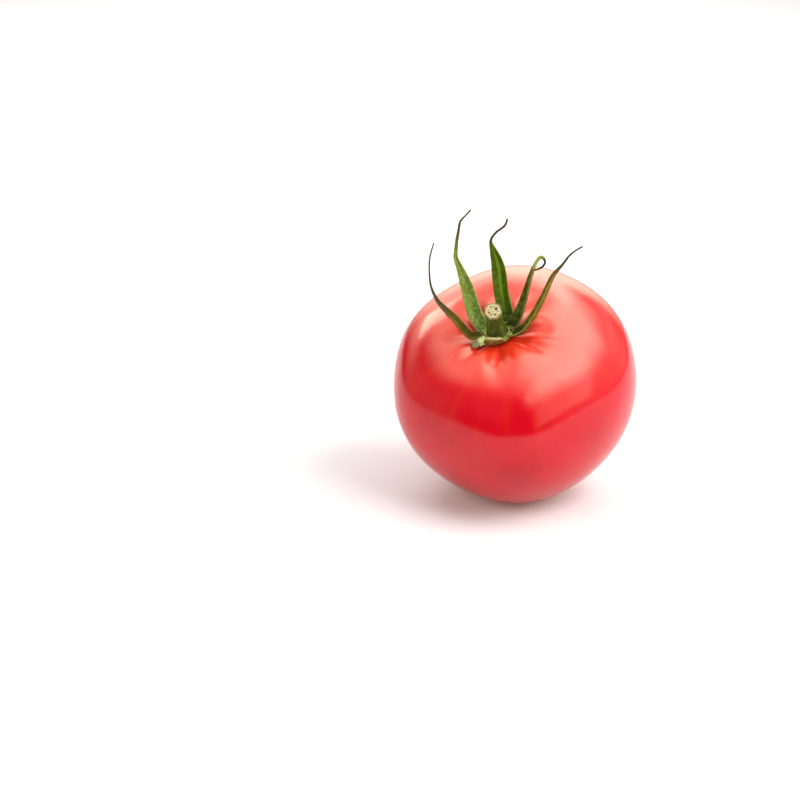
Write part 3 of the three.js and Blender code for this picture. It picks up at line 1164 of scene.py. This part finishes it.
SEPALS = (
    Sepal(
        "sepal_far_left",
        ((-3.4, -0.1, 1.6), (-5.2, -0.4, 2.2), (-7.9, -1.0, 3.0), (-9.4, -0.5, 4.7), (-11.8, 1.5, 8.5),
         (-14.1, 3.0, 12.0), (-16.0, 4.5, 15.5), (-16.9, 6.7, 20.0), (-16.3, 8.6, 25.0),
         (-15.3, 10.5, 29.0), (-13.2, 12.8, 33.0)),
        (2.2, 3.0, 3.2, 2.9, 2.2, 1.3, 0.7, 0.55, 0.5, 0.5, 0.4),
        ((0.1, 1, -0.1), (0.5, 0.8, 0)), (0.5, 0.9, 1.0, 0.6), DryAndShadedEnd.UPPER_HALF, BRONZE,
    ),
    Sepal(
        "sepal_left",
        ((-3.2, 1.2, 1.6), (-4.6, 2.3, 2.1), (-5.5, 3.9, 3.2), (-6.7, 6.2, 5.0), (-7.8, 11.0, 8.5),
         (-8.6, 14.1, 11.5), (-9.6, 17.1, 14.5), (-10.3, 18.8, 16.5), (-10.0, 20.4, 18.5),
         (-9.2, 22.5, 21.0), (-8.2, 23.8, 23.5), (-7.1, 25.5, 26.0), (-4.7, 26.3, 28.0),
         (-3.1, 26.8, 29.5)),
        (3.4, 4.4, 4.6, 4.3, 4.0, 3.3, 2.3, 1.4, 1.0, 0.8, 0.6, 0.5, 0.4),
        ((0.9, 0.4, 0), (0.9, 0.2, 0)), (0.7, 0.6, 0.5, 0.6), DryAndShadedEnd.LAST_THIRD, MOTTLED,
    ),
    Sepal(
        "sepal_back",
        ((2.2, 2.8, 1.6), (3.1, 4.3, 2.2), (2.8, 6.8, 4.2), (2.2, 11.5, 8.0), (2.3, 14.8, 11.5),
         (2.3, 17.0, 14.5), (1.7, 19.3, 17.5), (1.3, 21.2, 20.5), (3.2, 22.4, 22.5), (6.5, 23.3, 24.5),
         (7.6, 24.2, 26.5)),
        (3.2, 4.6, 4.7, 4.6, 4.6, 4.5, 3.9, 2.6, 0.7, 0.5, 0.6, 0.35),
        ((1, 0.1, 0), (1, 0, 0)), (0.6, 0.5, 0.5, 0.7), DryAndShadedEnd.THREAD, GREEN,
    ),
    Sepal(
        "sepal_curled",
        ((3.4, 1.1, 1.6), (4.9, 1.9, 2.2), (6.6, 3.2, 3.9), (8.9, 5.6, 7.0), (10.8, 8.4, 10.5),
         (12.7, 11.2, 14.0), (15.0, 13.7, 17.3), (16.5, 13.8, 18.9), (17.8, 12.1, 19.9), (18.0, 10.7, 19.7),
         (16.6, 9.8, 19.0), (14.4, 9.9, 18.1)),
        (3.4, 4.2, 3.9, 3.4, 3.1, 2.8, 2.6, 2.3, 2.2, 2.0, 1.6, 0.8),
        ((0.75, -0.65, 0), (0.1, -0.55, 0.8)), (0.8, 0.7, 0.5, 0.3), DryAndShadedEnd.DRY_AND_SHADED_TIP, DARK,
    ),
    Sepal(
        "sepal_right",
        ((3.5, -0.4, 1.5), (5.0, -0.9, 1.9), (8.4, -1.0, 3.5), (11.4, -0.1, 6.7), (14.7, 2.1, 10.5),
         (17.6, 4.4, 14.5), (20.3, 7.0, 18.0), (23.8, 8.8, 21.0), (25.9, 10.0, 23.0), (28.2, 10.7, 24.5),
         (30.5, 11.1, 25.5)),
        (2.8, 3.0, 2.7, 2.6, 2.5, 2.4, 2.1, 1.5, 0.9, 0.6, 0.5),
        ((0, -1, 0.1), (0.3, -0.9, 0.2)), (1.1, 1.2, 0.9, 0.6), DryAndShadedEnd.LAST_THIRD, OLIVE,
    ),
    Sepal(
        "sepal_front",
        ((-0.6, -4.1, 1.8), (-0.6, -4.5, 2.8), (-0.5, -4.3, 4.0), (-0.3, -3.8, 5.0)),
        (4.0, 6.0, 6.5, 5.8, 3.6),
        ((1, 0.1, 0), (1, 0.1, 0)), (-0.35, -0.35, -0.3, -0.2), DryAndShadedEnd.RIM, WITHERED, "dry_sepal",
    ),
    Sepal(
        "sepal_broken",
        ((-3.2, -1.9, 1.9), (-3.9, -2.4, 2.1), (-5.3, -3.2, 2.3), (-6.7, -3.8, 2.3), (-7.9, -4.1, 2.2)),
        (2.6, 2.9, 2.6, 2.4, 1.9),
        ((-0.3, 1, 0.1), (-0.3, 1, 0.1)), (-0.5, -0.4, -0.3, 0.3), DryAndShadedEnd.CRUST, KNOB, "dry_sepal",
        thick=(1.2, 1.3, 1.1, 0.9),
    ),
)


# ---- Studio --------------------------------------------------------------------------------------

WARM = (1.0, 0.98, 0.74)  # the colour of every light that the gloss mirrors
SOFT_EDGE = (0.6, 0.8, 1.0, 1.2, 1.4)  # sizes of the layers that fade a window's edge, as shares of it


class Falls(Enum):
    """What a light falls on: matte surfaces, or the gloss that mirrors it."""

    ON_MATTE = "matte"
    ON_GLOSS = "gloss"


@dataclass(frozen=True)
class Softbox:
    """A rectangular soft light, placed by direction and distance from the fruit."""

    name: str
    azimuth: float
    elevation: float
    distance: float
    size: tuple[float, float]
    radiance: float
    falls: Falls
    roll: float = 0.0
    color: Point = (1.0, 1.0, 1.0)
    layers: tuple[float, ...] = (1.0,)

    def hang(self, target: Vector) -> None:
        """Hangs the light, facing the target.

        Args:
            target: the point that it lights, in metres.
        """
        a, e = math.radians(self.azimuth), math.radians(self.elevation)
        toward = Vector((math.sin(a) * math.cos(e), -math.cos(a) * math.cos(e), math.sin(e)))
        facing = toward.to_track_quat("Z", "Y").to_matrix()
        rolled = facing @ Matrix.Rotation(math.radians(self.roll), 3, "Z")
        for part, share in enumerate(self.layers):
            data = bpy.data.lights.new(f"{self.name}_{part}", "AREA")
            data.shape = "RECTANGLE"
            data.size, data.size_y = self.size[0] * share, self.size[1] * share
            data.color = self.color
            data.energy = self.radiance / len(self.layers) * data.size * data.size_y * math.pi
            lamp = bpy.data.objects.new(data.name, data)
            lamp.location = target + toward * self.distance
            lamp.rotation_euler = rolled.to_euler()
            lamp.visible_camera = False
            lamp.visible_diffuse = self.falls is Falls.ON_MATTE
            lamp.visible_glossy = self.falls is Falls.ON_GLOSS
            bpy.context.scene.collection.objects.link(lamp)


@dataclass(frozen=True)
class Tent:
    """A soft tent that only the gloss mirrors: bright overhead, dim at the sides and dark in front.

    The single numbers are strengths and shifts. The pairs say where the roof begins and is full, up from
    the horizon, and where its dim left turns into its bright right.
    """

    roof_left: float = 2.6
    roof_right: float = 9.3
    roof_far_left: float = 1.7
    roof_begins: tuple[float, float] = (0.42, 0.85)
    roof_brightens: tuple[float, float] = (-0.40, -0.03)
    back_shift: float = 0.28
    front_left_rise: float = 0.22
    back_right_rise: float = 0.12
    right_wall: float = 1.2
    left_wall: float = 0.6
    back_wall: float = 2.0
    back_panel: float = 3.5
    right_shoulder: float = 1.3

    def build(self) -> None:
        """Makes the world that holds the tent, with plain white for what the camera sees past the floor."""
        world = bpy.data.worlds.new("tent")
        world.use_nodes = True
        world.cycles_visibility.diffuse = False
        bpy.context.scene.world = world
        nodes = Nodes(world.node_tree)
        light = self._light(*nodes.parts(nodes.node("ShaderNodeTexCoord", {}, {}, "Generated")))
        lit = nodes.node("ShaderNodeBackground", {}, {"Color": (*WARM, 1), "Strength": light})
        seen = nodes.node("ShaderNodeBackground", {}, {"Color": (1, 1, 1, 1), "Strength": 1.0})
        camera_ray = nodes.node("ShaderNodeLightPath", {}, {}, "Is Camera Ray")
        choice = nodes.node("ShaderNodeMixShader", {}, {0: camera_ray, 1: lit, 2: seen})
        nodes.tree.links.new(choice.socket, nodes.tree.nodes["World Output"].inputs["Surface"])

    def _light(self, x: Value, y: Value, z: Value) -> Value:
        """How bright the tent is in one direction.

        Args:
            x: how far the direction points right, from -1 to 1.
            y: how far it points back.
            z: how far it points up.

        Returns:
            The strength of the light.
        """
        front_left = y.between(-0.15, -0.55) * x.between(0.12, -0.10)
        back_right = y.between(0.10, 0.35) * x.between(0.15, 0.35)
        height = z - front_left * self.front_left_rise - back_right * self.back_right_rise
        across = (x - y.between(0, 0.4) * self.back_shift).between(*self.roof_brightens)
        top = self.roof_left + (self.roof_right - self.roof_left) * across
        top = top + self.roof_far_left * x.between(-0.42, -0.62)
        walls = self.right_wall * x.between(0.50, 0.90) + self.left_wall * x.between(-0.75, -0.97)
        walls = walls + self.back_wall * y.between(0.75, 1.0)
        panel = (y - x * 0.25).between(0.55, 0.85) * z.between(0, 0.5) * z.between(0.95, 0.60)
        shoulder = x.between(0.3, 0.6) * y.between(0, 0.3) * z.between(0.2, 0.5) * z.between(0.9, 0.6)
        light = height.between(*self.roof_begins) * top + walls * z.between(0.75, 0.3)
        return light + panel * self.back_panel + shoulder * self.right_shoulder


@dataclass
class Studio:
    """The pale surface, the soft lights and the camera."""

    centre: Vector
    elevation: float = 20.0
    distance: float = 0.70
    lens: float = 100.0
    aside: float = 0.0357
    below: float = 0.0069
    tent: Tent = Tent()
    softboxes: tuple[Softbox, ...] = (
        Softbox("key", 70, 40, 0.80, (0.80, 0.70), 7.4, Falls.ON_MATTE),
        Softbox("overhead", 180, 82, 0.90, (1.20, 1.10), 1.8, Falls.ON_MATTE),
        Softbox("fill", -45, 30, 0.95, (0.90, 0.60), 3.3, Falls.ON_MATTE),
        Softbox("rear_fill", -165, 32, 0.95, (0.90, 0.60), 4.4, Falls.ON_MATTE),
        Softbox("right_window", 39, 29, 0.60, (0.33, 0.36), 9.0, Falls.ON_GLOSS, 4, WARM, SOFT_EDGE),
        Softbox("back_window", 171, 45, 0.70, (0.28, 0.34), 7.0, Falls.ON_GLOSS, 0, WARM, SOFT_EDGE),
        Softbox("corner_window", -131, 35, 0.70, (0.20, 0.32), 7.0, Falls.ON_GLOSS, 0, WARM),
    )

    def build(self) -> None:
        """Sets up the floor, the lights and the camera."""
        self._camera()
        self._floor()
        self.tent.build()
        for softbox in self.softboxes:
            softbox.hang(self.centre)
        bpy.context.scene.view_settings.view_transform = "Standard"

    def _camera(self) -> None:
        """Places the camera, with the fruit off the middle of the view."""
        data = bpy.data.cameras.new("camera")
        data.lens = self.lens
        camera = bpy.data.objects.new("camera", data)
        e = math.radians(self.elevation)
        toward = Vector((0, -math.cos(e), math.sin(e)))
        up = Vector((0, math.sin(e), math.cos(e)))
        camera.location = self.centre + toward * self.distance
        aim = self.centre - Vector((self.aside, 0, 0)) - up * self.below
        camera.rotation_euler = (camera.location - aim).to_track_quat("Z", "Y").to_euler()
        bpy.context.scene.collection.objects.link(camera)
        bpy.context.scene.camera = camera

    def _floor(self) -> None:
        """A wide plain pale surface that also glows faintly pink: painted light that lifts its shade and
        tints it like light bounced from the red fruit.
        """
        floor = Bench.start("floor", bpy.ops.mesh.primitive_plane_add, size=12, location=(0, 0, -0.00005))
        # Painted light: the faint pink emission lifts the surface's shade and tints it pink, as bounce
        # light from the fruit would.
        shader = Shader(
            "pale_surface", Roughness=0.8, Base_Color=(0.60, 0.60, 0.60, 1), Specular_IOR_Level=0.0,
            Emission_Color=(1.0, 0.56, 0.40, 1), Emission_Strength=0.12,
        )
        floor.data.materials.append(shader.material)


# ---- Making it -----------------------------------------------------------------------------------


def main() -> None:
    """Makes the tomato, dresses it and sets up the studio."""
    logging.basicConfig(level=logging.INFO, format="%(name)s: %(message)s")
    fruit = Fruit()
    seat = fruit.seat()
    Studio(fruit.centre() * MM).build()
    Bench.hand_over(fruit.build(), SkinFinish().material(fruit), "skin", "fruit")
    Bench.hand_over(Disc().build(seat), CushionFinish().material(), "calyx", "calyx_disc")
    stem = Stem()
    Bench.hand_over(stem.build(seat), StemFinish().material(stem, seat), "stem", "stem_stub")
    for sepal in SEPALS:
        finish = sepal.finish.material(sepal.dry_and_shaded_end)
        Bench.hand_over(sepal.build(seat), finish, sepal.slot, sepal.name)


if __name__ == "__main__":
    main()
